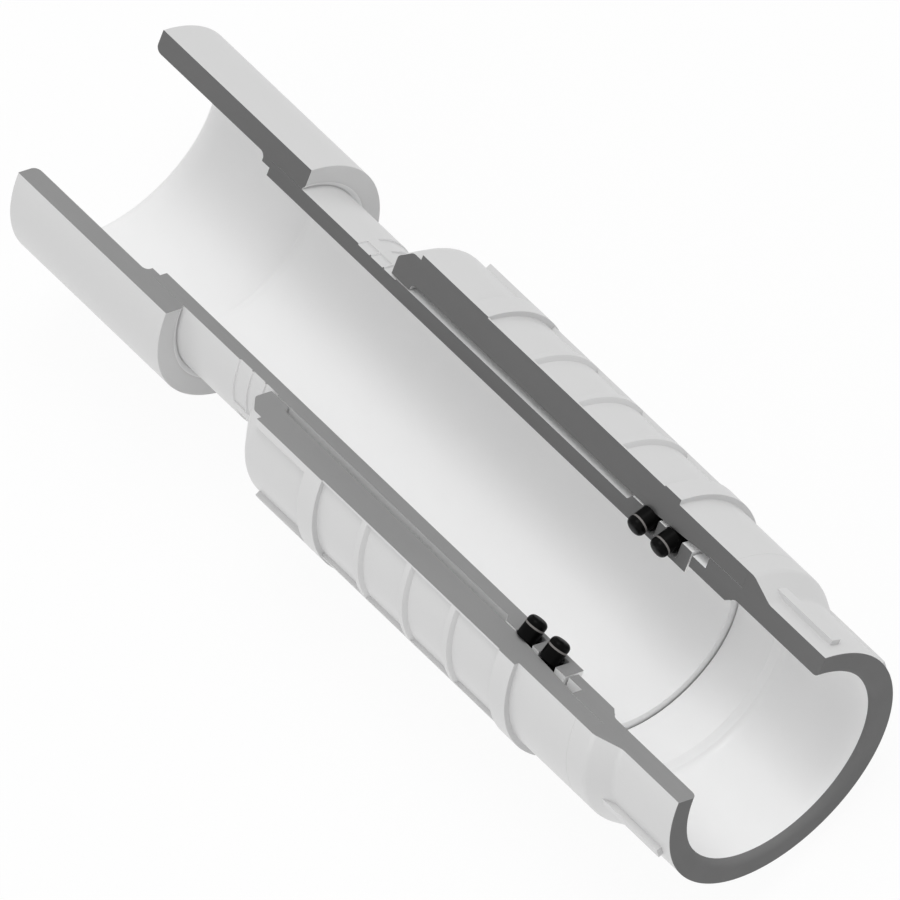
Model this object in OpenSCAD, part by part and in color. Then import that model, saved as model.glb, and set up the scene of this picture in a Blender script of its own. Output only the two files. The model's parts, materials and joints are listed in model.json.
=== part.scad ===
// Telescoping coupling for 1 1/2 inch PVC pressure pipe, built as the cutaway display
// piece in the picture: a wedge is cut out of its top along its whole length.
// The axis of the pipe lies along X and the window opens upward, along +Z.
// The origin is on the axis, where a pipe pushed into the fixed socket comes to rest.
// The sleeve, the hub socket and both seals slide together toward -X.

/* [Cutaway] */
// Angle of the wedge cut out of the top; 0 makes the whole coupling
window_angle = 89.6; // [0:0.1:89.6]
// How far round the seals' cut ends stand out of the cut faces, in degrees
seal_proud = 11.5; // [2:0.5:20]
// How far the free seal ends spring outward
seal_rise = 1.05; // [0:0.05:1.2]

/* [Pipe sockets] */
// Outside diameter of both sockets
socket_d = 59.1; // [57:0.1:61]
// Thickness of the socket wall. It leaves a 48.4 mm bore for the 48.26 mm pipe and its cement
socket_wall = 5.35; // [4.2:0.05:6.2]
// Depth of the fixed socket, from its face to the pipe's seat
end_depth = 25.4; // [20:0.1:32]
// Depth of the sliding socket, from its face to its stop ring
hub_depth = 34.9; // [26:0.1:40]
// Rounding of the socket mouths
mouth_r = 1.6; // [0.5:0.1:1.8]
// How far the stops stand in past the end of the sleeve, and so of the pipe
stop_step = 1.8; // [1.4:0.1:2.2]
// Length of the stop ring in the hub
hub_stop_len = 2.4; // [1.5:0.1:5]
// Length of the seat that holds the sleeve in the hub
hub_grip_len = 10.1; // [6:0.1:18]

/* [Sleeve] */
// Outside diameter of the sliding sleeve
sleeve_d = 48; // [47.4:0.1:48.3]
// Thickness of the sleeve's wall
sleeve_wall = 3.75; // [3.2:0.05:4.4]
// Length of the sleeve with its piston head
sleeve_len = 132.6; // [125:0.1:150]
// Length of the piston head
piston_len = 19.9; // [19.9:0.1:24]
// Radial room between the piston head and the barrel
piston_clear = 0.45; // [0.3:0.05:0.6]
// Room left between the piston head and its stop
piston_gap = 0.4; // [0.3:0.1:1]

/* [Sleeve marks] */
// Number of sunk pads round the sleeve
mark_count = 8; // [4:1:12]
// Number of rows of pads
mark_rows = 3; // [1:1:4]
// Length of a pad along the sleeve
mark_len = 3.7; // [2:0.1:4.5]
// Land between two rows
mark_gap = 0.42; // [0.3:0.02:1]
// Land between two pads of a row, in degrees
mark_land = 8; // [4:1:14]
// Depth of the pads
mark_depth = 0.35; // [0.2:0.05:0.6]
// Distance from the sleeve's hub end to the first row
mark_start = 27.6; // [24:0.1:32]

/* [Seals] */
// Thickness of a seal ring
seal_t = 4.6; // [4.2:0.1:4.7]
// Radial room between the seals and the barrel's bore
seal_clear = 0.05; // [0.02:0.01:0.1]
// How much a seal is squeezed onto the floor of its groove
seal_bite = 0.05; // [0:0.01:0.1]
// Width of a seal groove
groove_w = 5.1; // [4.8:0.1:5.2]
// Land between the piston's end and the first groove
land_end = 3.2; // [2.6:0.1:3.4]
// Land between the grooves
land_mid = 2.1; // [1.6:0.1:2.4]

/* [Barrel] */
// Length of the barrel, from its lip to the fixed socket's joint
barrel_len = 109.3; // [106:0.1:114]
// Radial room between the sleeve and the barrel's running bore
bore_gap = 2; // [1.8:0.05:2.3]
// How much the bore's radius grows toward the wide end, where the seals are put in
chamber_rise = 1.62; // [1.3:0.02:1.7]
// Length of the wide, tapered chamber
chamber_len = 19.5; // [17:0.1:22]
// Outside diameter of the barrel between its rings
barrel_d = 64.8; // [63.6:0.1:65.2]
// Outside diameter of the two full grip rings and the collar
ring_d = 67.4; // [66.8:0.1:69]
// Outside diameter of the low rings and the long pads
pad_d = 66.7; // [65.8:0.1:66.7]
// Length of the retaining lip in front of the collar
lip_len = 5.7; // [5.2:0.1:6.5]
// Chamfer round the lip
lip_c = 3.4; // [2:0.1:3.4]
// Radial room between the sleeve and the lip
lip_clear = 0.3; // [0.25:0.05:0.4]

/* [Grip rings] */
// Length of a full grip ring
ring_w = 4.95; // [4:0.05:6]
// Distance from the joint to the ring next to it
ring_end = 21.9; // [18:0.1:24]
// Distance between the two full grip rings
ring_span = 61; // [58:0.1:64]
// Number of low rings between them
low_rings = 3; // [0:1:3]
// Distance between the low rings
low_pitch = 14.05; // [11:0.05:14.5]
// Distance from the joint to the nearest low ring
low_start = 40.2; // [36:0.1:44]
// Length of a low ring at its foot
low_w = 2.3; // [1.6:0.1:3]
// Width of the long pads between the rings
pad_w = 47.6; // [40:0.2:49]
// Width of the collar's pad
collar_pad_w = 49.8; // [44:0.2:52]
// Thickness of the rib along each side
side_rib_t = 1.8; // [1:0.1:4]
// Width of the narrow flats that the collar and the full rings lie on
foot_w = 6; // [4:0.5:10]

/* [Fixed socket] */
// Length of the stop tube in front of the piston
stop_tube_len = 4.1; // [3:0.1:5]
// Thickness of the stop tube's wall
stop_tube_wall = 2.7; // [2.2:0.1:3]
// Depth of the spigot that is cemented into the barrel
spigot_len = 10.2; // [8:0.1:11]
// Room for cement round the spigot and the sleeve
cement_gap = 0.05; // [0.02:0.01:0.1]
// Length of the shoulder before the taper
shoulder_len = 1.9; // [1:0.1:3]
// Length of the taper down to the socket
taper_len = 5.8; // [4:0.1:8]
// Number of ribs round the socket
socket_ribs = 8; // [0:1:12]
// Width of a socket rib
socket_rib_w = 2.8; // [1.6:0.1:4]
// Height of a socket rib
socket_rib_h = 1.25; // [0.6:0.05:1.6]
// Distance from the socket's face to the ends of its ribs
socket_rib_end = 3.1; // [1:0.1:6]

/* [Hidden] */
$fn = 96;
e = 1;                                        // overrun of a cutting shape
spigot_step = 0.23;                           // ledge between the chamber and the spigot's seat
shoulder_step = 0.05;                         // the socket's shoulder is this much under the body
rib_phase = 34.5;                             // first rib and first land, from +Y toward +Z

socket_r = socket_d/2;
bore_r = socket_r - socket_wall;              // wall that the pipe is cemented to
sleeve_r = sleeve_d/2;
stop_r = min(bore_r, sleeve_r) - stop_step;
run_r = sleeve_r + bore_gap;
piston_r = run_r - piston_clear;
lip_r = sleeve_r + lip_clear;
body_r = barrel_d/2;
ring_r = ring_d/2;
pad_r = pad_d/2;
wide_r = run_r + chamber_rise;
spigot_r = wide_r + spigot_step;
groove_r = run_r - seal_clear - seal_t + seal_bite;
seal_r = run_r - seal_clear - seal_t/2;       // centre line of a seal in its groove

stub_x = -spigot_len - stop_tube_len;         // free end of the stop tube
piston_x = stub_x - piston_gap;               // inner end of the sleeve
sleeve_x = piston_x - sleeve_len;             // hub end of the sleeve
hub_x = sleeve_x - hub_stop_len - hub_depth;  // face of the sliding socket
lip_x = -barrel_len;                          // face of the retaining lip
collar_x = lip_x + lip_len;
full_x = -ring_end - ring_w;                  // the full ring next to the joint
far_x = full_x - ring_span + ring_w;          // foot of the far ring's inner face
front_x = piston_x - land_end - groove_w/2;   // middles of the two grooves
rear_x = front_x - groove_w - land_mid;

// Points on an arc, for profiles drawn as [radius, x]
function arc(c, r, a0, a1, n = 6) =
    [for (i = [0:n]) let (a = a0 + (a1 - a0)*i/n) [c[0] + r*cos(a), c[1] + r*sin(a)]];

// Turns its child, drawn as [radius, x], about the X axis. The turn begins at an angle
// counted from +Y toward +Z.
module turn(from = 0, angle = 360) {
    rotate([0, 90, 0]) rotate([0, 0, from + 90]) rotate_extrude(angle = angle) children();
}

module spin(points) { turn() polygon(points); }

// Straight tube or rod along X
module rod(r, x0, x1) {
    translate([x0, 0, 0]) rotate([0, 90, 0]) cylinder(r = r, h = x1 - x0);
}

// The wedge that opens the window
module window() {
    if (window_angle > 0) {
        a = window_angle/2;
        w = 60;
        translate([-260, 0, 0]) rotate([90, 0, 90]) linear_extrude(320)
            polygon([[0, 0], [w*sin(a), w*cos(a)], [0, 1.6*w], [-w*sin(a), w*cos(a)]]);
    }
}

// A box along X that stands on the axis and points to an angle from +Y toward +Z
module fin(angle, width, r0, r1, x0, x1) {
    rotate([angle, 0, 0]) translate([x0, r0, -width/2]) cube([x1 - x0, r1 - r0, width]);
}

module hub_socket() {
    inner = hub_x + hub_depth;
    grip_end = sleeve_x + hub_grip_len;
    seat_r = sleeve_r + cement_gap;
    color("gainsboro") difference() {
        rod(socket_r, hub_x, grip_end);
        // pipe socket, rounded at its mouth and in its bottom corner
        spin(concat(
            [[0, hub_x - e], [bore_r + mouth_r, hub_x - e]],
            arc([bore_r + mouth_r, hub_x + mouth_r], mouth_r, 270, 180),
            arc([bore_r - 1.35, inner - 1.35], 1.35, 0, 90),
            [[0, inner]]));
        rod(stop_r, inner - e, sleeve_x + e);
        rod(seat_r, sleeve_x, grip_end + e);
        // rounded mouth round the sleeve
        spin(concat(
            [[seat_r - e, grip_end + e], [seat_r - e, grip_end - mouth_r]],
            arc([seat_r + mouth_r, grip_end - mouth_r], mouth_r, 180, 90),
            [[seat_r + mouth_r, grip_end + e]]));
        window();
    }
}

module sleeve() {
    shoulder = piston_x - piston_len;
    color("gainsboro") difference() {
        union() {
            rod(sleeve_r, sleeve_x, piston_x);
            spin([[sleeve_r - e, shoulder], [sleeve_r, shoulder], [piston_r, shoulder + 1.2],
                  [piston_r, piston_x], [sleeve_r - e, piston_x]]);
        }
        rod(sleeve_r - sleeve_wall, sleeve_x - e, piston_x + e);
        for (x = [front_x, rear_x])
            spin([[groove_r, x - groove_w/2], [run_r + e, x - groove_w/2],
                  [run_r + e, x + groove_w/2], [groove_r, x + groove_w/2]]);
        marks();
        window();
    }
}

// Rows of shallow pads sunk into the outside of the sleeve
module marks() {
    pitch = 360/mark_count;
    for (row = [0:mark_rows - 1], k = [0:mark_count - 1])
        turn(rib_phase + k*pitch + mark_land/2, pitch - mark_land)
            translate([sleeve_r - mark_depth, sleeve_x + mark_start + row*(mark_len + mark_gap)])
                square([mark_depth + e, mark_len]);
}

// Seal ring in its groove. Its two free ends stand out of the cut faces and spring
// outward there, because nothing squeezes them.
module seal(x) {
    edge = window_angle/2 - 0.25;             // just clear of the barrel's cut faces
    color("#101010") {
        turn(89 + edge, 362 - 2*edge) seal_section(seal_r, x);
        if (edge > seal_proud) {
            turn(90 - edge, seal_proud) seal_section(seal_r + seal_rise, x);
            turn(90 + edge - seal_proud, seal_proud) seal_section(seal_r + seal_rise, x);
        }
    }
}

module seal_section(r, x) { translate([r, x]) circle(d = seal_t, $fn = 48); }

module front_seal() { seal(front_x); }
module rear_seal() { seal(rear_x); }

module barrel() {
    color("gainsboro") difference() {
        union() {
            // lip with its rounded chamfer, and the plain body
            spin(concat(
                [[0, lip_x]],
                arc([body_r - lip_c - 0.62, lip_x + 1.5], 1.5, 270, 315, 3),
                arc([body_r - 1.5, lip_x + lip_c + 0.62], 1.5, 315, 360, 3),
                [[body_r, 0], [0, 0]]));
            for (x = [far_x, full_x + ring_w]) rod(ring_r, x - ring_w, x);
            low_grip_rings();
            pads(pad_r, pad_w, far_x - e, full_x + e);
            pads(ring_r, collar_pad_w, collar_x, far_x - ring_w + e);
        }
        barrel_bore();
        foot_flats();
        window();
    }
}

// Low rings with sloping faces
module low_grip_rings() {
    for (k = [0:1:low_rings - 1]) {
        x = -low_start - k*low_pitch;
        spin([[body_r - e, x - low_w], [body_r, x - low_w], [pad_r, x - low_w + 0.4],
              [pad_r, x - 0.4], [body_r, x], [body_r - e, x]]);
    }
}

// Raised long pads above and below, and a rib along each side, as far out as r
module pads(r, width, x0, x1) {
    intersection() {
        rod(r, x0, x1);
        union() {
            translate([x0, -width/2, -r - e]) cube([x1 - x0, width, 2*(r + e)]);
            translate([x0, -r - e, -side_rib_t/2]) cube([x1 - x0, 2*(r + e), side_rib_t]);
        }
    }
}

// Narrow flats under the collar and the full rings, so that the piece lies without rolling
module foot_flats() {
    rest = sqrt(pow(ring_r, 2) - pow(foot_w/2, 2));
    translate([lip_x, -foot_w, -rest - e]) cube([barrel_len, 2*foot_w, e]);
}

// Lip bore, running bore, tapered chamber and the seat for the fixed socket
module barrel_bore() {
    inner = collar_x - 0.1;
    rod(lip_r, lip_x - e, inner + e);
    spin(concat(
        [[0, inner], [lip_r + 0.1, inner]],
        arc([run_r - 1.4, inner + 1.4], 1.4, 270, 360, 5),
        [[run_r, -spigot_len - chamber_len], [wide_r, -spigot_len], [0, -spigot_len]]));
    rod(spigot_r + cement_gap, -spigot_len, e);
}

module end_socket() {
    shoulder_r = body_r - shoulder_step;
    color("gainsboro") difference() {
        union() {
            rod(stop_r + stop_tube_wall, stub_x, -spigot_len + e);
            rod(spigot_r, -spigot_len, e);
            spin(concat(
                [[0, 0], [shoulder_r, 0]],
                arc([shoulder_r - 2.4, shoulder_len - 0.6], 2.4, 0, 26, 4),
                arc([socket_r + 3, shoulder_len + taper_len + 0.7], 3, 206, 180, 4),
                [[socket_r, end_depth], [0, end_depth]]));
            socket_rib_ring();
        }
        rod(stop_r, stub_x - e, e);
        // pipe seat, then the straight wall and its rounded mouth
        spin(concat(
            [[0, -3], [stop_r, -3], [stop_r + 1, -1.8]],
            arc([bore_r - 1.7, 0], 1.7, 300, 360, 4),
            arc([bore_r + mouth_r, end_depth - mouth_r], mouth_r, 180, 90),
            [[bore_r + mouth_r, end_depth + e], [0, end_depth + e]]));
        window();
    }
}

// Ribs along the fixed socket, from the taper almost to its face
module socket_rib_ring() {
    if (socket_ribs > 0)
        intersection() {
            rod(socket_r + socket_rib_h, shoulder_len, end_depth - socket_rib_end);
            for (k = [0:socket_ribs - 1])
                fin(rib_phase + k*360/socket_ribs, socket_rib_w, socket_r - e,
                    socket_r + socket_rib_h + e, shoulder_len, end_depth - socket_rib_end);
        }
}

hub_socket();
sleeve();
front_seal();
rear_seal();
barrel();
end_socket();
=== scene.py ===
"""Looks of the cutaway telescoping pipe coupling: moulded plastic shells with rounded
edges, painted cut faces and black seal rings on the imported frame, and their studio."""

import json
import math
import bmesh
import bpy
from bpy.props import FloatProperty, FloatVectorProperty, IntProperty, PointerProperty
from mathutils import Euler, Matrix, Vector


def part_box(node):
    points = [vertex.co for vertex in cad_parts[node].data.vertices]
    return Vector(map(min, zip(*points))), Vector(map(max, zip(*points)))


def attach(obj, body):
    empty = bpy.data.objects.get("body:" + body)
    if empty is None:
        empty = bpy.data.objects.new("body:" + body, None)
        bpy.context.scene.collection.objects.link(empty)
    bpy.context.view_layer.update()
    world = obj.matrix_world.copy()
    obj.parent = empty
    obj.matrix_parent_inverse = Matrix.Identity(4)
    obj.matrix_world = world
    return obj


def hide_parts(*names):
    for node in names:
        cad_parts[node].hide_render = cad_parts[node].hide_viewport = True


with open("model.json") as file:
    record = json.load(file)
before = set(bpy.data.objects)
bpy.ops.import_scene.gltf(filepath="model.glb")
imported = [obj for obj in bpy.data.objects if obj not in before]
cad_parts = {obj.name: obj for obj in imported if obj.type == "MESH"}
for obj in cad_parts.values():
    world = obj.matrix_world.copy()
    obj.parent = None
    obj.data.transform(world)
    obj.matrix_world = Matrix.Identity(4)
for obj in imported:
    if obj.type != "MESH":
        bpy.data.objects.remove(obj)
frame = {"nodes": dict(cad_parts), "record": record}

bl_info = {
    "name": "Cutaway pipe coupling",
    "version": (1, 0, 0),
    "blender": (4, 5, 0),
    "location": "View3D > Sidebar > Coupling",
    "description": "Dresses a cutaway telescoping pipe coupling for a studio picture",
    "category": "Add Mesh",
}

MM = 0.001
WELD = 1e-6                     # points closer than this are one point
UPPER, LOWER = 1, -1            # the cut faces on the +Y and on the -Y side
# Shell materials: the bore's plastic is lighter than the outside's as painted light, and the two
# cut paints are one paint, darker and lighter as painted shade and painted light.
SHELL_FINISH = ("moulded_plastic", "bore_plastic", "upper_cut_paint", "lower_cut_paint",
                "end_face_paint")
OUTSIDE, LIGHTENED_PLASTIC, UPPER_CUT, LOWER_CUT, END_FACE = range(len(SHELL_FINISH))
BODY_OF = {n: b for b, nodes in frame["record"]["behaviour"]["bodies"].items() for n in nodes}
SOCKET_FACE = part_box("end_socket")[1].x
RING_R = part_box("barrel")[1].y
FLOOR_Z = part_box("barrel")[0].z - 0.1 * MM
SLEEVE_R = 24 * MM              # outside of the sleeve, where it is in the sliding socket


def length(name, description, millimetres):
    return FloatProperty(name=name, description=description, default=millimetres * MM,
                         unit="LENGTH", precision=5)


def angle(name, description, degrees):
    return FloatProperty(name=name, description=description, default=math.radians(degrees),
                         unit="ROTATION")


def colour(name, description, red, green, blue):
    return FloatVectorProperty(name=name, description=description, default=(red, green, blue),
                               subtype="COLOR", size=3, min=0.0, max=1.0)


def share(name, description, value, top=1.0):
    return FloatProperty(name=name, description=description, default=value, min=0.0, max=top)


class CouplingShapes(bpy.types.PropertyGroup):
    """Sizes of the details on the shells"""

    window: angle("Window", "Angle of the wedge that is cut away", 89.6)
    column: angle("Column", "Angle between two columns of a shell's faces", 1.6)
    edge_round: length("Edge rounding", "Rounding of the moulded edges", 0.14)
    cut_round: length("Cut edge rounding", "Rounding of the edges of the cut faces", 0.03)
    body_r: length("Body radius", "Radius of the barrel between its rings", 32.4)
    pad_r: length("Pad radius", "Radius of the long pads and the low rings", 33.35)
    pad_half: length("Half pad", "Half the width of the long pads", 23.8)
    collar_pad_half: length("Half collar pad", "Half the width of the collar's pad", 24.9)
    side_rib_half: length("Half side rib", "Half the thickness of the side ribs", 0.9)
    parting_x: length("Parting line", "Where the fine parting line runs round the barrel", -3.8)
    parting_w: length("Parting line width", "Width of the fine parting line", 0.16)
    low_rings: IntProperty(name="Low rings", description="Number of low rings", default=3)
    low_ring_x: length("First low ring", "Right foot of the low ring next to the joint", -39.9)
    low_ring_pitch: length("Low ring pitch", "Distance between the low rings", 14.05)
    low_ring_foot: length("Low ring foot", "Length of a low ring at its foot", 2.9)
    low_ring_crown: length("Low ring crown", "Length of a low ring at its top", 1.3)
    spoke_step: angle("Spoke step", "Angle between two ribs or two lands", 45.0)
    spoke_phase: angle("Spoke phase", "First rib past the window, from +Y toward +Z", 169.5)
    spokes: IntProperty(name="Spokes", description="Ribs that the window leaves", default=6)
    socket_rib_w: length("Socket rib width", "Width of a rib on the fixed socket", 2.8)
    socket_rib_h: length("Socket rib height", "Height of a rib on the fixed socket", 1.25)
    socket_rib_start: length("Socket rib start", "Where the ribs come out of the taper", 1.9)
    socket_rib_stop: length("Socket rib stop", "Where the ribs end", 22.3)
    cement_back: length("Cement", "Depth of the cement in the sliding socket's edge", 0.6)
    land_angle: angle("Land", "Angle of a land between two sunk pads on the sleeve", 8.0)
    marks_end: length("End of the sunk pads", "Where the last row of sunk pads ends", -105)
    ring_w: length("Full ring", "Length of a full ring", 4.95)
    foot_w: length("Foot", "Width of the flats under the rings", 6)
    seal_r: length("Seal radius", "Radius of a seal's centre line in its groove", 23.65)
    seal_root_r: length("Seal root radius", "Radius where a free seal end starts", 25.05)
    seal_root: angle("Seal root", "How far a free seal end starts behind the cut face", 0.85)
    seal_tip_r: length("Seal tip radius", "Radius of the tips of the free seal ends", 23.1)
    seal_tip: angle("Seal tip", "How far the tips stand out of the cut faces", 10.4)
    seal_bead: length("Seal tip rounding", "Rounding of the tips of the free seal ends", 1.15)
    # The band of these two sizes is a painted highlight: light grey on the black rubber for light
    # on the rounded edge of each seal tip.
    seal_edge_back: length("Seal edge place", "Distance of the painted highlight band from a tip", 1.6)
    seal_edge: length("Seal edge", "Width of the painted highlight band behind a tip", 0.45)


class CouplingFinish(bpy.types.PropertyGroup):
    """Colours and gloss of the coupling's surfaces"""

    # plastic and bore are one white plastic; the bore's lighter tone is painted light, standing in
    # for light that the shaded bore and narrow gaps lack.
    plastic: colour("Plastic", "Moulded plastic, outside", 0.64, 0.64, 0.64)
    bore: colour("Bore", "Moulded plastic inside, lightened as painted light", 0.89, 0.89, 0.89)
    # The two cut paints are one grey paint in two tones: the +Y one darker as painted shade, the
    # -Y one lighter as painted light, for how light falls on the two cut planes.
    upper_paint: colour("Paint, +Y cut", "Paint on the +Y cut faces, darkened as painted shade", 0.139, 0.139, 0.139)
    lower_paint: colour("Paint, -Y cut", "Paint on the -Y cut faces, lightened as painted light", 0.285, 0.285, 0.285)
    end_paint: colour("Paint, end face", "Paint on the fixed socket's face", 0.19, 0.19, 0.19)
    rubber: colour("Rubber", "Seal rings", 0.002, 0.002, 0.002)
    # The seal band colour is a painted highlight on the rounded edge of each seal tip.
    rubber_edge: colour("Rubber edge", "Painted highlight band behind the seals' tips", 0.2, 0.19, 0.185)
    plastic_rough: share("Plastic roughness", "Roughness of the plastic", 0.38)
    paint_rough: share("Paint roughness", "Roughness of the paint", 0.5)
    rubber_rough: share("Rubber roughness", "Roughness of the rubber", 0.35)


class StudioSettings(bpy.types.PropertyGroup):
    """Camera, lamps and floor"""

    aim: FloatVectorProperty(name="Aim", description="Point that the camera looks at",
                             default=(-0.0804, 0.0005, -0.0009), unit="LENGTH", precision=5)
    turn: FloatVectorProperty(name="Turn", description="Camera turn about X, Y and Z",
                              default=tuple(math.radians(a) for a in (22.8931, 16.8073, 48.0236)),
                              subtype="EULER")
    distance: length("Distance", "Distance from the camera to its aim", 8077)
    half_view: angle("Half view", "Half the camera's angle of view", 0.65)
    ambient: share("Ambient", "Strength of the white surroundings", 0.61, 10.0)
    floor_glow: share("Floor white", "How white the camera sees the floor, beside its shade", 0.93)


# Shapes

def around(x, r, phi):
    """Point on a circle about the pipe's axis. phi counts from +Y toward +Z."""
    return Vector((x, r * math.cos(phi), r * math.sin(phi)))


def cut_angle(side):
    """Angle of a cut face, from +Y toward +Z."""
    half = bpy.context.scene.coupling_shapes.window / 2
    return math.pi / 2 - side * half


def section_of(node):
    """Outline of a CAD node's cut face as (x, r) points in order, straight runs as one edge."""
    shell = bmesh.new()
    shell.from_mesh(frame["nodes"][node].data)
    bmesh.ops.remove_doubles(shell, verts=shell.verts, dist=WELD)
    normal = Vector((0, -math.sin(cut_angle(UPPER)), math.cos(cut_angle(UPPER))))
    faces = {f for f in shell.faces
             if f.normal.dot(normal) > 0.999 and abs(f.verts[0].co.dot(normal)) < 20 * WELD}
    rim = [e for e in shell.edges if sum(f in faces for f in e.link_faces) == 1]
    beside = {}
    for edge in rim:
        for vert in edge.verts:
            beside.setdefault(vert, []).append(edge.other_vert(vert))
    first = vert = rim[0].verts[0]
    last, loop = None, []
    while True:
        loop.append(Vector((vert.co.x, math.hypot(vert.co.y, vert.co.z))))
        ahead = [v for v in beside[vert] if v is not last]
        last, vert = vert, ahead[0]
        if vert is first:
            break
    shell.free()
    return counter_clockwise(without_straight_points(loop))


def turn_at(loop, i):
    """Angle through which an outline turns at a point."""
    back, here, ahead = loop[i - 1], loop[i], loop[(i + 1) % len(loop)]
    return (here - back).angle(ahead - here, 0.0)


def without_straight_points(loop):
    return [p for i, p in enumerate(loop) if turn_at(loop, i) > math.radians(0.05)]


def counter_clockwise(loop):
    area = sum(a.x * b.y - b.x * a.y for a, b in zip(loop, loop[1:] + loop[:1]))
    return loop if area > 0 else loop[::-1]


def rounded(loop, radii, steps=4):
    """The outline with its sharp corners rounded. A corner that is straight here and sharp
    elsewhere round the shell keeps the same number of points."""
    out = []
    for i, (here, radius) in enumerate(zip(loop, radii)):
        if not radius:
            out.append(here)
            continue
        back, ahead = loop[i - 1] - here, loop[(i + 1) % len(loop)] - here
        reach = min(max(radius * math.tan(turn_at(loop, i) / 2), 0.1 * radius),
                    0.42 * back.length, 0.42 * ahead.length)
        start, stop = here + back.normalized() * reach, here + ahead.normalized() * reach
        for k in range(steps + 1):
            t = k / steps
            out.append(start * (1 - t) ** 2 + here * 2 * t * (1 - t) + stop * t * t)
    return out


def corner_radii(loop, radius):
    """The rounding of each point of an outline. Sharp corners get it, but not points of a curve
    or corners in the joint plane between barrel and fixed socket."""
    return [radius if turn_at(loop, i) > math.radians(25) and abs(p.x) > WELD else 0
            for i, p in enumerate(loop)]


def corner_radii_of_all(outline_at, knots, radius):
    """The rounding of each point of an outline that is a sharp corner at some angle."""
    rows = [corner_radii(outline_at(phi), radius) for phi in (cut_angle(LOWER), *knots)]
    return [max(column) for column in zip(*rows)]


def hold_points(loop, hold):
    """Places along an outline, as (index, share), that keep the shading of its roundings off
    its long runs."""
    out = []
    for i, here in enumerate(loop):
        run = (loop[(i + 1) % len(loop)] - here).length
        out.append((i, 0.0))
        if run > 4 * hold:
            out += [(i, hold / run), (i, 1 - hold / run)]
    return out


def inset(loop, depth):
    """The outline moved inward by depth."""
    out = []
    for i, here in enumerate(loop):
        before = (here - loop[i - 1]).normalized()
        after = (loop[(i + 1) % len(loop)] - here).normalized()
        inward = Vector((-before.y - after.y, before.x + after.x))
        inward /= max(inward.length_squared / 2, 0.6)
        out.append(here + inward * depth)
    return out


def shell_columns(radius, knots):
    """Places of a shell's columns as (angle, inset), from one cut face round to the other. The
    edges of both cut faces are rounded, and no even column comes close to a knot."""
    shapes = bpy.context.scene.coupling_shapes
    bead = shapes.cut_round
    start, stop = cut_angle(LOWER), cut_angle(UPPER) + 2 * math.pi
    tips = [(bead * (1 - math.cos(a)) / radius, bead * (1 - math.sin(a)))
            for a in (0, math.pi / 6, math.pi / 3, math.pi / 2)] + [(2.5 * bead / radius, 0)]
    ends = tips[-1][0]
    fixed = [start + ends, stop - ends]
    fixed += [k for k in knots if start + ends < k < stop - ends]
    count = round((stop - start) / shapes.column)
    even = [start + (stop - start) * k / count for k in range(count + 1)]
    even = [a for a in even if start + ends < a < stop - ends
            and min(abs(a - k) for k in fixed) > 0.3 * shapes.column]
    body = sorted(fixed + even)
    return ([(start + along, depth) for along, depth in tips[:-1]] + [(a, 0) for a in body]
            + [(stop - along, depth) for along, depth in reversed(tips[:-1])])


def turned_shell(name, outline_at, colour_of, knots=()):
    """A solid turned about the axis from one cut face to the other. outline_at(angle) gives its
    section there, always with the same number of points, and colour_of(midpoint, outward)
    the material index of a strip of faces."""
    shapes = bpy.context.scene.coupling_shapes
    radii = corner_radii_of_all(outline_at, knots, shapes.edge_round)
    first = outline_at(cut_angle(LOWER))
    holds = hold_points(rounded(first, radii), 2 * shapes.edge_round)

    def points_at(phi):
        loop = rounded(outline_at(phi), radii)
        return [loop[i].lerp(loop[(i + 1) % len(loop)], t) for i, t in holds]

    shell = bmesh.new()
    rows = []
    mean_r = sum(p.y for p in first) / len(first)
    for phi, depth in shell_columns(mean_r, knots):
        loop = points_at(phi)
        if depth:
            loop = inset(loop, depth)
        rows.append([shell.verts.new(around(p.x, p.y, phi)) for p in loop])

    loop = points_at(cut_angle(LOWER))
    colours = [colour_of((a + b) / 2, Vector((b.y - a.y, a.x - b.x)).normalized())
               for a, b in zip(loop, loop[1:] + loop[:1])]
    edge_columns = 3                # columns of the rounded edges of a cut face
    last = len(rows) - 2
    for column, (a, b) in enumerate(zip(rows, rows[1:])):
        for i, index in enumerate(colours):
            j = (i + 1) % len(colours)
            face = shell.faces.new((a[i], a[j], b[j], b[i]))
            if column < edge_columns:
                index = LOWER_CUT
            elif column > last - edge_columns:
                index = UPPER_CUT
            face.material_index = index
    caps = []
    for row, index in ((rows[0], LOWER_CUT), (rows[-1], UPPER_CUT)):
        caps.append(shell.faces.new(row))
        caps[-1].material_index = index
    bmesh.ops.recalc_face_normals(shell, faces=shell.faces)
    rims = [edge for cap in caps for edge in cap.edges]
    bmesh.ops.triangulate(shell, faces=caps)
    return finished(name, shell, flat=rims)


def smooth_but_for_edges(shell, sharp=math.radians(32)):
    """Smooth shading that breaks at sharp edges and round the cut faces."""
    for face in shell.faces:
        face.smooth = True
    for edge in shell.edges:
        edge.smooth = edge.calc_face_angle(0.0) < sharp


def finished(name, shell, flat=()):
    """The bmesh as an object at the origin. Its edges in flat are shaded as sharp ones."""
    smooth_but_for_edges(shell)
    for edge in flat:
        edge.smooth = False
    mesh = bpy.data.meshes.new(name)
    shell.to_mesh(mesh)
    shell.free()
    piece = bpy.data.objects.new(name, mesh)
    bpy.context.scene.collection.objects.link(piece)
    return piece


def dress(piece, materials, body, slot, *nodes):
    """Gives a piece its materials and its body, and hides the CAD nodes that it stands for. The
    slot argument is not used.
    """
    for name in materials:
        if bpy.data.materials[name] not in piece.data.materials[:]:
            piece.data.materials.append(bpy.data.materials[name])
    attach(piece, body)
    if nodes:
        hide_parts(*nodes)
    return piece


def inside_or_out(midpoint, outward):
    """The plastic of a strip: the inside's, lighter as painted light, where it faces the axis."""
    return LIGHTENED_PLASTIC if outward.y < -0.3 else OUTSIDE


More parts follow.
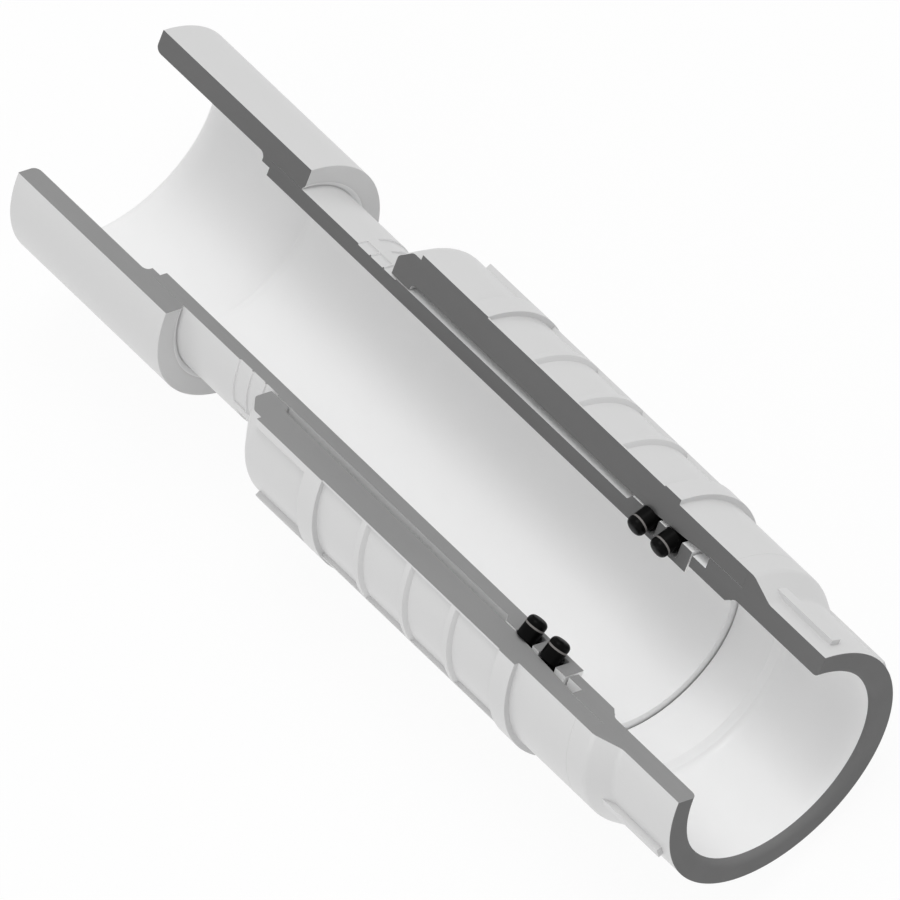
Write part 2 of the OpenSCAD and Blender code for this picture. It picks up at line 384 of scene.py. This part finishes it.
def shell_from_cad(node, name, outline_at=None, colour_of=inside_or_out, knots=()):
    """A CAD node turned again from its section, with rounded edges."""
    section = section_of(node)
    piece = turned_shell(name, outline_at or (lambda phi: section), colour_of, knots)
    return dress(piece, SHELL_FINISH, BODY_OF[node], "pvc", node)


# Node trees

def maths_in(tree):
    """A helper that adds a Math node to a tree, fed with sockets and plain numbers."""
    def maths(operation, *values):
        made = tree.nodes.new("ShaderNodeMath")
        made.operation = operation
        for socket, value in zip(made.inputs, values):
            if isinstance(value, (int, float)):
                socket.default_value = value
            else:
                tree.links.new(value, socket)
        return made.outputs[0]

    return maths


def new_tree(name, inputs):
    """An empty geometry node tree with named inputs, and a helper that adds nodes to it."""
    tree = bpy.data.node_groups.new(name, "GeometryNodeTree")
    for label, kind in inputs:
        tree.interface.new_socket(name=label, in_out="INPUT", socket_type="NodeSocket" + kind)
    tree.interface.new_socket(name="Geometry", in_out="OUTPUT", socket_type="NodeSocketGeometry")

    def node(kind, **settings):
        made = tree.nodes.new(kind)
        for key, value in settings.items():
            setattr(made, key, value)
        return made

    return tree, node


def set_along(tree, node, given, geometry):
    """Repeats a geometry round the axis and along it, and gives it real, separate copies."""
    single = node("GeometryNodeGeometryToInstance")
    copies = node("GeometryNodeDuplicateElements", domain="INSTANCE")
    turn, shift = node("GeometryNodeRotateInstances"), node("GeometryNodeTranslateInstances")
    maths, index = maths_in(tree), copies.outputs["Duplicate Index"]
    turn_vector, shift_vector = node("ShaderNodeCombineXYZ"), node("ShaderNodeCombineXYZ")
    real = node("GeometryNodeRealizeInstances")
    turn.inputs["Local Space"].default_value = False
    shift.inputs["Local Space"].default_value = False
    for source, sink in (
            (geometry, single.inputs["Geometry"]),
            (single.outputs["Instances"], copies.inputs["Geometry"]),
            (given.outputs["Count"], copies.inputs["Amount"]),
            (copies.outputs["Geometry"], turn.inputs["Instances"]),
            (maths("MULTIPLY", index, given.outputs["Turn Step"]), turn_vector.inputs["X"]),
            (turn_vector.outputs[0], turn.inputs["Rotation"]),
            (turn.outputs["Instances"], shift.inputs["Instances"]),
            (maths("MULTIPLY_ADD", index, given.outputs["Shift Step"], given.outputs["Place"]),
             shift_vector.inputs["X"]),
            (shift_vector.outputs[0], shift.inputs["Translation"]),
            (shift.outputs["Instances"], real.inputs["Geometry"])):
        tree.links.new(source, sink)
    return real.outputs["Geometry"]


def bar_tree():
    """Bars on a round body: an arc swept with a trapezium, repeated round the axis or along it."""
    if "bars_round_the_axis" in bpy.data.node_groups:
        return bpy.data.node_groups["bars_round_the_axis"]
    tree, node = new_tree("bars_round_the_axis", (
        ("Radius", "Float"), ("Height", "Float"), ("Foot", "Float"), ("Crown", "Float"),
        ("Start", "Float"), ("Sweep", "Float"), ("Steps", "Int"), ("Place", "Float"),
        ("Count", "Int"), ("Turn Step", "Float"), ("Shift Step", "Float"), ("Rounding", "Float"),
        ("Material", "Material")))
    given, out = node("NodeGroupInput"), node("NodeGroupOutput")
    arc = node("GeometryNodeCurveArc", mode="RADIUS")
    section = node("GeometryNodeCurvePrimitiveQuadrilateral", mode="TRAPEZOID")
    section.inputs["Offset"].default_value = 0.0
    fillet = node("GeometryNodeFilletCurve", mode="POLY")
    fillet.inputs["Count"].default_value = 4
    fillet.inputs["Limit Radius"].default_value = True
    upright = node("GeometryNodeTransform")
    upright.inputs["Rotation"].default_value = (0, 0, -math.pi / 2)
    sweep = node("GeometryNodeCurveToMesh")
    sweep.inputs["Fill Caps"].default_value = True
    stand = node("GeometryNodeTransform")
    stand.inputs["Rotation"].default_value = (math.pi / 2, 0, math.pi / 2)
    paint = node("GeometryNodeSetMaterial")
    for source, sink in (
            (given.outputs["Radius"], arc.inputs["Radius"]),
            (given.outputs["Start"], arc.inputs["Start Angle"]),
            (given.outputs["Sweep"], arc.inputs["Sweep Angle"]),
            (given.outputs["Steps"], arc.inputs["Resolution"]),
            (given.outputs["Height"], section.inputs["Height"]),
            (given.outputs["Foot"], section.inputs["Bottom Width"]),
            (given.outputs["Crown"], section.inputs["Top Width"]),
            (section.outputs["Curve"], fillet.inputs["Curve"]),
            (given.outputs["Rounding"], fillet.inputs["Radius"]),
            (arc.outputs["Curve"], sweep.inputs["Curve"]),
            (fillet.outputs["Curve"], upright.inputs["Geometry"]),
            (upright.outputs["Geometry"], sweep.inputs["Profile Curve"]),
            (sweep.outputs["Mesh"], stand.inputs["Geometry"]),
            (set_along(tree, node, given, stand.outputs["Geometry"]), paint.inputs["Geometry"]),
            (given.outputs["Material"], paint.inputs["Material"]),
            (paint.outputs["Geometry"], out.inputs["Geometry"])):
        tree.links.new(source, sink)
    return tree


def seal_tree():
    """Round seal rings, open at the window, whose free ends lean out over the cut faces."""
    tree, node = new_tree("seal_rings", (
        ("Radius", "Float"), ("Thickness", "Float"), ("Window", "Float"), ("Root", "Vector"),
        ("Tip", "Vector"), ("Rounding", "Float"), ("Edge Back", "Float"), ("Edge Width", "Float"),
        ("Place", "Float"), ("Shift Step", "Float"), ("Turn Step", "Float"), ("Count", "Int"),
        ("Rubber", "Material"), ("Edge", "Material")))
    links, maths = tree.links, maths_in(tree)
    given, out = node("NodeGroupInput"), node("NodeGroupOutput")
    thick = maths("DIVIDE", given.outputs["Thickness"], 2.0)

    def cord(curve, scale=None):
        """A round cord along a curve."""
        section = node("GeometryNodeCurvePrimitiveCircle", mode="RADIUS")
        section.inputs["Resolution"].default_value = 40
        links.new(thick, section.inputs["Radius"])
        sweep = node("GeometryNodeCurveToMesh")
        sweep.inputs["Fill Caps"].default_value = True
        links.new(curve, sweep.inputs["Curve"])
        links.new(section.outputs["Curve"], sweep.inputs["Profile Curve"])
        if scale:
            links.new(scale, sweep.inputs["Scale"])
        return sweep.outputs["Mesh"]

    arc = node("GeometryNodeCurveArc", mode="RADIUS")
    arc.inputs["Resolution"].default_value = 160
    links.new(given.outputs["Radius"], arc.inputs["Radius"])
    links.new(maths("MULTIPLY_ADD", given.outputs["Window"], 0.5, math.pi / 2),
              arc.inputs["Start Angle"])
    links.new(maths("SUBTRACT", 2 * math.pi, given.outputs["Window"]), arc.inputs["Sweep Angle"])

    # A free end runs straight from its root to its tip, which is rounded along a quarter circle
    line = node("GeometryNodeCurvePrimitiveLine", mode="POINTS")
    fine = node("GeometryNodeResampleCurve", mode="COUNT")
    fine.inputs["Count"].default_value = 48
    reach = node("ShaderNodeVectorMath", operation="DISTANCE")
    for source, sink in ((given.outputs["Root"], line.inputs["Start"]),
                         (given.outputs["Tip"], line.inputs["End"]),
                         (line.outputs["Curve"], fine.inputs["Curve"]),
                         (given.outputs["Root"], reach.inputs[0]),
                         (given.outputs["Tip"], reach.inputs[1])):
        links.new(source, sink)
    along = node("GeometryNodeSplineParameter").outputs["Length"]
    near = maths("SUBTRACT", reach.outputs["Value"], along)
    share_of_bead = maths("MINIMUM", maths("DIVIDE", near, given.outputs["Rounding"]), 1.0)
    short = maths("SUBTRACT", 1.0, share_of_bead)
    rest = maths("MAXIMUM", maths("SUBTRACT", 1.0, maths("MULTIPLY", short, short)), 0.0)
    drop = maths("SUBTRACT", 1.0, maths("SQRT", rest))
    bead = maths("DIVIDE", given.outputs["Rounding"], thick)
    size = maths("SUBTRACT", 1.0, maths("MULTIPLY", drop, bead))
    store = node("GeometryNodeStoreNamedAttribute", data_type="FLOAT", domain="POINT")
    store.inputs["Name"].default_value = "from_tip"
    links.new(near, store.inputs["Value"])
    links.new(fine.outputs["Curve"], store.inputs["Geometry"])
    free_end = cord(store.outputs["Geometry"], size)
    mirror, turned_out = node("GeometryNodeTransform"), node("GeometryNodeFlipFaces")
    mirror.inputs["Scale"].default_value = (-1, 1, 1)
    links.new(free_end, mirror.inputs["Geometry"])
    links.new(mirror.outputs["Geometry"], turned_out.inputs["Mesh"])

    join, stand = node("GeometryNodeJoinGeometry"), node("GeometryNodeTransform")
    for mesh in (cord(arc.outputs["Curve"]), free_end, turned_out.outputs["Mesh"]):
        links.new(mesh, join.inputs["Geometry"])
    stand.inputs["Rotation"].default_value = (math.pi / 2, 0, math.pi / 2)
    links.new(join.outputs["Geometry"], stand.inputs["Geometry"])
    real = set_along(tree, node, given, stand.outputs["Geometry"])
    # The Edge material on the band behind each tip is a painted highlight on the seal's rounded
    # end.
    rubber, edge = node("GeometryNodeSetMaterial"), node("GeometryNodeSetMaterial")
    from_tip = node("GeometryNodeInputNamedAttribute", data_type="FLOAT")
    from_tip.inputs["Name"].default_value = "from_tip"
    half_band = maths("DIVIDE", given.outputs["Edge Width"], 2.0)
    on_edge = maths("COMPARE", from_tip.outputs["Attribute"],
                    maths("ADD", given.outputs["Edge Back"], half_band), half_band)
    for source, sink in ((real, rubber.inputs["Geometry"]),
                         (given.outputs["Rubber"], rubber.inputs["Material"]),
                         (rubber.outputs["Geometry"], edge.inputs["Geometry"]),
                         (on_edge, edge.inputs["Selection"]),
                         (given.outputs["Edge"], edge.inputs["Material"]),
                         (edge.outputs["Geometry"], out.inputs["Geometry"])):
        links.new(source, sink)
    return tree


def grown(name, tree, **values):
    """A plain mesh of what a geometry node tree makes from the named values."""
    host = bpy.data.objects.new(name, bpy.data.meshes.new(name + "_host"))
    bpy.context.scene.collection.objects.link(host)
    modifier = host.modifiers.new("grown", "NODES")
    modifier.node_group = tree
    for item in tree.interface.items_tree:
        if item.in_out == "INPUT":
            modifier[item.identifier] = values.get(item.name.replace(" ", "_"), 0.0)
    graph = bpy.context.evaluated_depsgraph_get()
    mesh = bpy.data.meshes.new_from_object(host.evaluated_get(graph))
    mesh.name = name
    host.modifiers.remove(modifier)
    host.data = mesh
    shell = bmesh.new()
    shell.from_mesh(mesh)
    bmesh.ops.remove_doubles(shell, verts=shell.verts, dist=WELD)
    bmesh.ops.recalc_face_normals(shell, faces=shell.faces)
    smooth_but_for_edges(shell)
    shell.to_mesh(mesh)
    shell.free()
    return host


def bars(name, material, **values):
    values["Material"] = bpy.data.materials[material]
    values.setdefault("Rounding", bpy.context.scene.coupling_shapes.edge_round)
    return grown(name, bar_tree(), **values)


# Materials

def moulded_surface():
    """Shader group for moulded and painted surfaces: a fine grain, soft flow marks in tone and
    roughness, and a height for the bump."""
    name = "moulded_surface"
    if name in bpy.data.node_groups:
        return bpy.data.node_groups[name]
    group = bpy.data.node_groups.new(name, "ShaderNodeTree")
    face = group.interface
    for label, kind, value in (("Colour", "Color", (0.8, 0.8, 0.8, 1)), ("Tone", "Float", 0.02),
                               ("Roughness", "Float", 0.4), ("Roughness Spread", "Float", 0.1),
                               ("Grain Scale", "Float", 2500.0), ("Flow Scale", "Float", 60.0),
                               ("Scratches", "Float", 0.0)):
        socket = face.new_socket(name=label, in_out="INPUT", socket_type="NodeSocket" + kind)
        socket.default_value = value
    for label, kind in (("Colour", "Color"), ("Roughness", "Float"), ("Height", "Float")):
        face.new_socket(name=label, in_out="OUTPUT", socket_type="NodeSocket" + kind)
    nodes, links, maths = group.nodes, group.links, maths_in(group)
    given, out = nodes.new("NodeGroupInput"), nodes.new("NodeGroupOutput")
    place = nodes.new("ShaderNodeTexCoord").outputs["Object"]

    def noise(scale, detail, vector):
        made = nodes.new("ShaderNodeTexNoise")
        made.inputs["Detail"].default_value = detail
        links.new(scale, made.inputs["Scale"])
        links.new(vector, made.inputs["Vector"])
        return made.outputs["Fac"]

    def stretched_along(share_of_length):
        made = nodes.new("ShaderNodeMapping")
        made.inputs["Scale"].default_value = (share_of_length, 1, 1)
        links.new(place, made.inputs["Vector"])
        return made.outputs[0]

    # Flow marks run along the pipe, and sanding marks along the cut
    flow = noise(given.outputs["Flow Scale"], 2.0, stretched_along(0.25))
    marks = noise(given.outputs["Grain Scale"], 2.0, stretched_along(0.06))
    grain = noise(given.outputs["Grain Scale"], 3.0, place)
    shift = maths("SUBTRACT", flow, 0.5)
    light = maths("MULTIPLY_ADD", shift, given.outputs["Tone"], 1.0)
    toned = nodes.new("ShaderNodeMix")
    toned.data_type, toned.blend_type = "RGBA", "MULTIPLY"
    toned.inputs["Factor"].default_value = 1.0
    links.new(given.outputs["Colour"], toned.inputs["A"])
    links.new(light, toned.inputs["B"])
    links.new(toned.outputs["Result"], out.inputs["Colour"])
    uneven = maths("ADD", shift, maths("MULTIPLY", maths("SUBTRACT", grain, 0.5), 0.5))
    links.new(maths("MULTIPLY_ADD", uneven, given.outputs["Roughness Spread"],
                    given.outputs["Roughness"]), out.inputs["Roughness"])
    scratch = maths("SUBTRACT", marks, 0.5)
    links.new(maths("MULTIPLY_ADD", scratch, given.outputs["Scratches"], grain),
              out.inputs["Height"])
    return group


def new_material(name, base, rough):
    material = bpy.data.materials.new(name)
    material.use_nodes = True
    shader = material.node_tree.nodes["Principled BSDF"]
    shader.inputs["Base Color"].default_value = (*base, 1)
    shader.inputs["Roughness"].default_value = rough
    return material


def surface_material(name, base, rough, depth, specular=0.5, **values):
    """A material whose colour, roughness and bump come from the shared surface group."""
    material = new_material(name, base, rough)
    nodes, links = material.node_tree.nodes, material.node_tree.links
    shader = nodes["Principled BSDF"]
    shader.inputs["Specular IOR Level"].default_value = specular
    surface = nodes.new("ShaderNodeGroup")
    surface.node_tree = moulded_surface()
    surface.inputs["Colour"].default_value = (*base, 1)
    surface.inputs["Roughness"].default_value = rough
    for socket, value in values.items():
        surface.inputs[socket.replace("_", " ")].default_value = value
    bump = nodes.new("ShaderNodeBump")
    bump.inputs["Distance"].default_value = depth
    links.new(surface.outputs["Colour"], shader.inputs["Base Color"])
    links.new(surface.outputs["Roughness"], shader.inputs["Roughness"])
    links.new(surface.outputs["Height"], bump.inputs["Height"])
    links.new(bump.outputs["Normal"], shader.inputs["Normal"])
    return material


def make_materials():
    if "moulded_plastic" in bpy.data.materials:
        return
    finish = bpy.context.scene.coupling_finish
    fine, coarse = 0.004 * MM, 0.012 * MM
    surface_material("moulded_plastic", finish.plastic, finish.plastic_rough, fine, Tone=0.03)
    # The bore's plastic is lighter than the outside's as painted light.
    surface_material("bore_plastic", finish.bore, finish.plastic_rough, fine, Tone=0.03)
    # The two cut paints differ only as painted shade on the +Y faces and painted light on the -Y
    # faces.
    for name, paint in (("upper_cut_paint", finish.upper_paint),
                        ("lower_cut_paint", finish.lower_paint)):
        surface_material(name, paint, finish.paint_rough, coarse, 0.15, Tone=0.12, Scratches=1.5,
                         Flow_Scale=120.0)
    surface_material("end_face_paint", finish.end_paint, finish.paint_rough, fine, 0.0, Tone=0.12,
                     Flow_Scale=120.0)
    surface_material("black_rubber", finish.rubber, finish.rubber_rough, fine, 0.05, Tone=0.3,
                     Roughness_Spread=0.2)
    # The seal band material is a painted highlight, light grey on the black rubber.
    surface_material("seal_edge", finish.rubber_edge, finish.rubber_rough, fine, 0.1, Tone=0.2,
                     Roughness_Spread=0.2)


# Operators

class COUPLING_OT_sliding_socket(bpy.types.Operator):
    """Turn the sliding pipe socket"""

    bl_idname = "coupling.sliding_socket"
    bl_label = "Sliding socket"

    def execute(self, context):
        make_materials()
        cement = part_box("hub_socket")[1].x - context.scene.coupling_shapes.cement_back
        filled = [Vector((max(p.x, cement), p.y)) if p.x > cement - MM and p.y < SLEEVE_R + MM
                  else p for p in section_of("hub_socket")]
        shell_from_cad("hub_socket", "sliding_socket_shell", lambda phi: filled)
        return {"FINISHED"}


class COUPLING_OT_sleeve(bpy.types.Operator):
    """Turn the sleeve, with the lands between its sunk pads"""

    bl_idname = "coupling.sleeve"
    bl_label = "Sleeve"

    def execute(self, context):
        make_materials()
        shapes = context.scene.coupling_shapes
        section = section_of("sleeve")
        outside = max(p.y for p in section if p.x < shapes.marks_end)
        sunk = {i for i, p in enumerate(section)
                if p.x < shapes.marks_end and outside - MM < p.y < outside - 0.1 * MM}
        land_r = outside - 0.005 * MM
        half, wall = shapes.land_angle / 2, 0.02 * MM / outside
        centres = [shapes.spoke_phase + k * shapes.spoke_step for k in range(-1, shapes.spokes)]
        knots = [centre + side * (half + step) for centre in centres
                 for side in (-1, 1) for step in (-wall, wall)]

        def outline_at(phi):
            on_land = any(abs(phi - centre) < half for centre in centres)
            return [Vector((p.x, land_r)) if on_land and i in sunk else p
                    for i, p in enumerate(section)]

        def colour_of(midpoint, outward):
            """The piston head never leaves the barrel and has the bore's plastic, lighter as
            painted light for the shaded gap between sleeve and barrel.
            """
            return OUTSIDE if outward.y > 0.3 and midpoint.y < outside + WELD else LIGHTENED_PLASTIC

        shell_from_cad("sleeve", "sleeve_shell", outline_at, colour_of, knots)
        return {"FINISHED"}


class COUPLING_OT_barrel(bpy.types.Operator):
    """Turn the barrel with its pads and side ribs, and set the low rings on it"""

    bl_idname = "coupling.barrel"
    bl_label = "Barrel"

    def execute(self, context):
        make_materials()
        shapes = context.scene.coupling_shapes
        outline = self.raised_outline(section_of("barrel"), shapes)
        halves = {half for *_, half in outline if half}
        rest = math.sqrt(RING_R ** 2 - (shapes.foot_w / 2) ** 2)

        def outline_at(phi):
            points = []
            for x, low, high, half in outline:
                r = low
                if high > low:
                    pad = half / max(abs(math.cos(phi)), 1e-6)
                    rib = shapes.side_rib_half / max(abs(math.sin(phi)), 1e-6)
                    r = max(low, min(high, max(pad, rib)))
                if math.sin(phi) < -0.9:
                    r = min(r, rest / -math.sin(phi))
                points.append(Vector((x, r)))
            return points

        knots = []
        for r in (shapes.body_r, shapes.pad_r, RING_R):
            knots += [quarter + side * math.asin(shapes.side_rib_half / r)
                      for quarter in (math.pi, 2 * math.pi) for side in (-1, 1)]
            for half in halves:
                flank = math.acos(half / r)
                knots += [turn * math.pi + side * flank for turn in (1, 2) for side in (-1, 1)]
        foot = math.asin(shapes.foot_w / 2 / RING_R)
        knots += [1.5 * math.pi + side * foot for side in (-1, 1)]
        shell_from_cad("barrel", "barrel_shell", outline_at, knots=sorted(knots))
        self.set_low_rings(shapes)
        return {"FINISHED"}

    def raised_outline(self, section, shapes):
        """The section as rows of x, radius beside the pads, radius on a pad and half the pad's
        width, with the collar's pad and the parting line put in."""
        near = max(p.x for p in section if abs(p.y - shapes.pad_r) < WELD)
        far = min(p.x for p in section if abs(p.y - shapes.pad_r) < WELD)
        collar = min(p.x for p in section if abs(p.y - RING_R) < WELD)
        ring_far = far - shapes.ring_w
        slope, lip, groove = 0.05 * MM, 0.02 * MM, shapes.parting_w / 2
        outline = []
        for p in section:
            if abs(p.y - shapes.pad_r) < WELD:
                outline.append((p.x, shapes.body_r, shapes.pad_r, shapes.pad_half))
            elif abs(p.y - RING_R) < WELD and abs(p.x - collar) < WELD:
                outline += [(ring_far, RING_R, RING_R, 0),
                            (ring_far - slope, shapes.body_r, RING_R, shapes.collar_pad_half),
                            (collar + lip, shapes.body_r, RING_R, shapes.collar_pad_half)]
            else:
                outline.append((p.x, p.y, p.y, 0))
                if abs(p.x) < WELD and abs(p.y - shapes.body_r) < WELD:
                    outline += [(shapes.parting_x + side * groove, r, r, 0)
                                for side, r in ((1, p.y), (0, p.y - groove), (-1, p.y))]
        return outline

    def set_low_rings(self, shapes):
        """The low rings between the pads, which run on under the pads, a little below their
        tops, and end just short of the cut faces."""
        root, below, short = 0.2 * MM, 0.02 * MM, math.radians(0.4)
        start, stop = cut_angle(LOWER) + short, cut_angle(UPPER) + 2 * math.pi - short
        rings = bars("low_rings", "moulded_plastic",
                     Radius=(shapes.body_r + shapes.pad_r - root) / 2 - below,
                     Height=shapes.pad_r - shapes.body_r + root,
                     Foot=shapes.low_ring_foot + root, Crown=shapes.low_ring_crown,
                     Start=start, Sweep=stop - start, Steps=190,
                     Place=shapes.low_ring_x - shapes.low_ring_foot / 2, Count=shapes.low_rings,
                     Turn_Step=0.0, Shift_Step=-shapes.low_ring_pitch)
        dress(rings, ("moulded_plastic",), BODY_OF["barrel"], "pvc")


class COUPLING_OT_fixed_socket(bpy.types.Operator):
    """Turn the fixed pipe socket and set its ribs"""

    bl_idname = "coupling.fixed_socket"
    bl_label = "Fixed socket"

    def execute(self, context):
        make_materials()
        shapes = context.scene.coupling_shapes
        section = section_of("end_socket")
        shoulder = max(p.y for p in section)
        flush = [Vector((p.x, shapes.body_r)) if shoulder - p.y < WELD else p for p in section]
        shell_from_cad("end_socket", "fixed_socket_shell", lambda phi: flush, self.colour_of)
        outside = max(p.y for p in section if p.x > SOCKET_FACE - WELD)
        sunk = 0.6 * MM
        crown = outside + shapes.socket_rib_h
        middle = (shapes.socket_rib_start + shapes.socket_rib_stop) / 2
        long = shapes.socket_rib_stop - shapes.socket_rib_start
        sweep = shapes.socket_rib_w / crown
        height = crown - outside + sunk
        ribs = bars("socket_ribs", "moulded_plastic", Radius=crown - height / 2,
                    Height=height, Foot=long, Crown=long,
                    Start=shapes.spoke_phase - sweep / 2, Sweep=sweep, Steps=8,
                    Place=middle, Count=shapes.spokes, Turn_Step=shapes.spoke_step, Shift_Step=0.0)
        dress(ribs, ("moulded_plastic",), BODY_OF["end_socket"], "pvc")
        return {"FINISHED"}

    def colour_of(self, midpoint, outward):
        """The face and its rounding are painted, and the spigot has the bore's plastic, lighter as
        painted light.
        """
        mouth = 1.6 * MM
        if midpoint.x > SOCKET_FACE - mouth and outward.x > 0.1:
            return END_FACE
        return LIGHTENED_PLASTIC if midpoint.x < 0 else inside_or_out(midpoint, outward)


class COUPLING_OT_seals(bpy.types.Operator):
    """Sweep the two seal rings and their free ends"""

    bl_idname = "coupling.seals"
    bl_label = "Seals"

    def execute(self, context):
        make_materials()
        shapes = context.scene.coupling_shapes
        front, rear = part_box("front_seal"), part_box("rear_seal")
        front_x, rear_x = (front[0].x + front[1].x) / 2, (rear[0].x + rear[1].x) / 2
        root = around(0, shapes.seal_root_r, cut_angle(UPPER) - shapes.seal_root)
        tip = around(0, shapes.seal_tip_r, cut_angle(UPPER) + shapes.seal_tip)
        seals = grown("seal_rings", seal_tree(), Radius=shapes.seal_r, Window=shapes.window,
                      Thickness=front[1].x - front[0].x, Root=(root.y, root.z, 0),
                      Tip=(tip.y, tip.z, 0), Rounding=shapes.seal_bead,
                      Edge_Back=shapes.seal_edge_back, Edge_Width=shapes.seal_edge,
                      Place=front_x, Shift_Step=rear_x - front_x, Count=2,
                      Rubber=bpy.data.materials["black_rubber"],
                      Edge=bpy.data.materials["seal_edge"])
        dress(seals, ("black_rubber", "seal_edge"), BODY_OF["front_seal"], "seal_rubber",
              "front_seal", "rear_seal")
        return {"FINISHED"}


# Each lamp: name, azimuth from +X toward +Y and elevation in degrees, size in metres, watts
LAMPS = (
    ("high_key", 90, 78, 0.6, 2.8),
    ("far_key", 90, 65, 0.6, 3.05),
    ("near_rim", -90, 25, 0.6, 1.6),
    ("low_rim", -90, 10, 0.6, 1.6),
)
LAMP_DISTANCE = 1.2


class COUPLING_OT_stage(bpy.types.Operator):
    """Set up the camera, the lamps, the floor and the white surroundings"""

    bl_idname = "coupling.stage"
    bl_label = "Stage"

    def execute(self, context):
        studio = context.scene.coupling_studio
        self.make_camera(context.scene, studio)
        self.make_lamps(context.scene, studio)
        self.make_surroundings(context.scene, studio)
        self.make_floor(context.scene, studio)
        return {"FINISHED"}

    def make_camera(self, scene, studio):
        data = bpy.data.cameras.new("camera")
        data.lens = data.sensor_width / 2 / math.tan(studio.half_view)
        data.clip_start, data.clip_end = 1.0, 60.0
        camera = bpy.data.objects.new("camera", data)
        turn = Euler(studio.turn)
        camera.rotation_euler = turn
        camera.location = Vector(studio.aim) + turn.to_matrix() @ Vector((0, 0, studio.distance))
        scene.collection.objects.link(camera)
        scene.camera = camera
        scene.view_settings.view_transform = "Standard"

    def make_lamps(self, scene, studio):
        for name, azimuth, elevation, size, power in LAMPS:
            a, e = math.radians(azimuth), math.radians(elevation)
            out = Vector((math.cos(a) * math.cos(e), math.sin(a) * math.cos(e), math.sin(e)))
            data = bpy.data.lights.new(name, "AREA")
            data.shape, data.size, data.energy = "DISK", size, power
            lamp = bpy.data.objects.new(name, data)
            lamp.location = Vector(studio.aim) + out * LAMP_DISTANCE
            lamp.rotation_euler = out.to_track_quat("Z", "Y").to_euler()
            scene.collection.objects.link(lamp)

    def make_surroundings(self, scene, studio):
        world = bpy.data.worlds.new("white_surroundings")
        scene.world = world
        world.use_nodes = True
        nodes, links = world.node_tree.nodes, world.node_tree.links
        nodes.clear()
        lit, white = nodes.new("ShaderNodeBackground"), nodes.new("ShaderNodeBackground")
        lit.inputs["Strength"].default_value = studio.ambient
        white.inputs["Strength"].default_value = 1.0
        for node in (lit, white):
            node.inputs["Color"].default_value = (1, 1, 1, 1)
        mix, out = nodes.new("ShaderNodeMixShader"), nodes.new("ShaderNodeOutputWorld")
        links.new(seen_directly(world.node_tree), mix.inputs["Fac"])
        links.new(lit.outputs[0], mix.inputs[1])
        links.new(white.outputs[0], mix.inputs[2])
        links.new(mix.outputs[0], out.inputs["Surface"])

    def make_floor(self, scene, studio):
        half = 2.0
        mesh = bpy.data.meshes.new("floor")
        mesh.from_pydata([(x, y, FLOOR_Z) for x, y in ((-half, -half), (half, -half),
                                                       (half, half), (-half, half))],
                         [], [(0, 1, 2, 3)])
        floor = bpy.data.objects.new("floor", mesh)
        scene.collection.objects.link(floor)
        material = new_material("pale_floor", (0.86, 0.86, 0.86), 0.9)
        nodes, links = material.node_tree.nodes, material.node_tree.links
        glow, mix = nodes.new("ShaderNodeEmission"), nodes.new("ShaderNodeMixShader")
        glow.inputs["Strength"].default_value = 1.0
        seen = seen_directly(material.node_tree)
        links.new(maths_in(material.node_tree)("MULTIPLY", seen, studio.floor_glow),
                  mix.inputs["Fac"])
        links.new(nodes["Principled BSDF"].outputs[0], mix.inputs[1])
        links.new(glow.outputs[0], mix.inputs[2])
        links.new(mix.outputs[0], nodes["Material Output"].inputs["Surface"])
        mesh.materials.append(material)


def seen_directly(tree):
    """1 for a ray that comes from the camera, from a gloss or through glass."""
    maths, ray = maths_in(tree), tree.nodes.new("ShaderNodeLightPath").outputs
    return maths("MAXIMUM", ray["Is Camera Ray"],
                 maths("MAXIMUM", ray["Is Glossy Ray"], ray["Is Transmission Ray"]))


class COUPLING_PT_panel(bpy.types.Panel):
    """Lists the coupling's operators"""

    bl_label = "Coupling"
    bl_space_type = "VIEW_3D"
    bl_region_type = "UI"
    bl_category = "Coupling"

    def draw(self, context):
        for operator in OPERATORS:
            self.layout.operator(operator.bl_idname)


OPERATORS = (COUPLING_OT_sliding_socket, COUPLING_OT_sleeve, COUPLING_OT_barrel,
             COUPLING_OT_fixed_socket, COUPLING_OT_seals, COUPLING_OT_stage)
GROUPS = {"coupling_shapes": CouplingShapes, "coupling_finish": CouplingFinish,
          "coupling_studio": StudioSettings}


def register():
    for cls in (*GROUPS.values(), *OPERATORS, COUPLING_PT_panel):
        bpy.utils.register_class(cls)
    for name, group in GROUPS.items():
        setattr(bpy.types.Scene, name, PointerProperty(type=group))


def unregister():
    for name in GROUPS:
        delattr(bpy.types.Scene, name)
    for cls in (COUPLING_PT_panel, *reversed(OPERATORS), *GROUPS.values()):
        bpy.utils.unregister_class(cls)


def main():
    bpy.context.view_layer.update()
    register()
    bpy.ops.coupling.sliding_socket()
    bpy.ops.coupling.sleeve()
    bpy.ops.coupling.barrel()
    bpy.ops.coupling.fixed_socket()
    bpy.ops.coupling.seals()
    bpy.ops.coupling.stage()


if __name__ == "__main__":
    main()
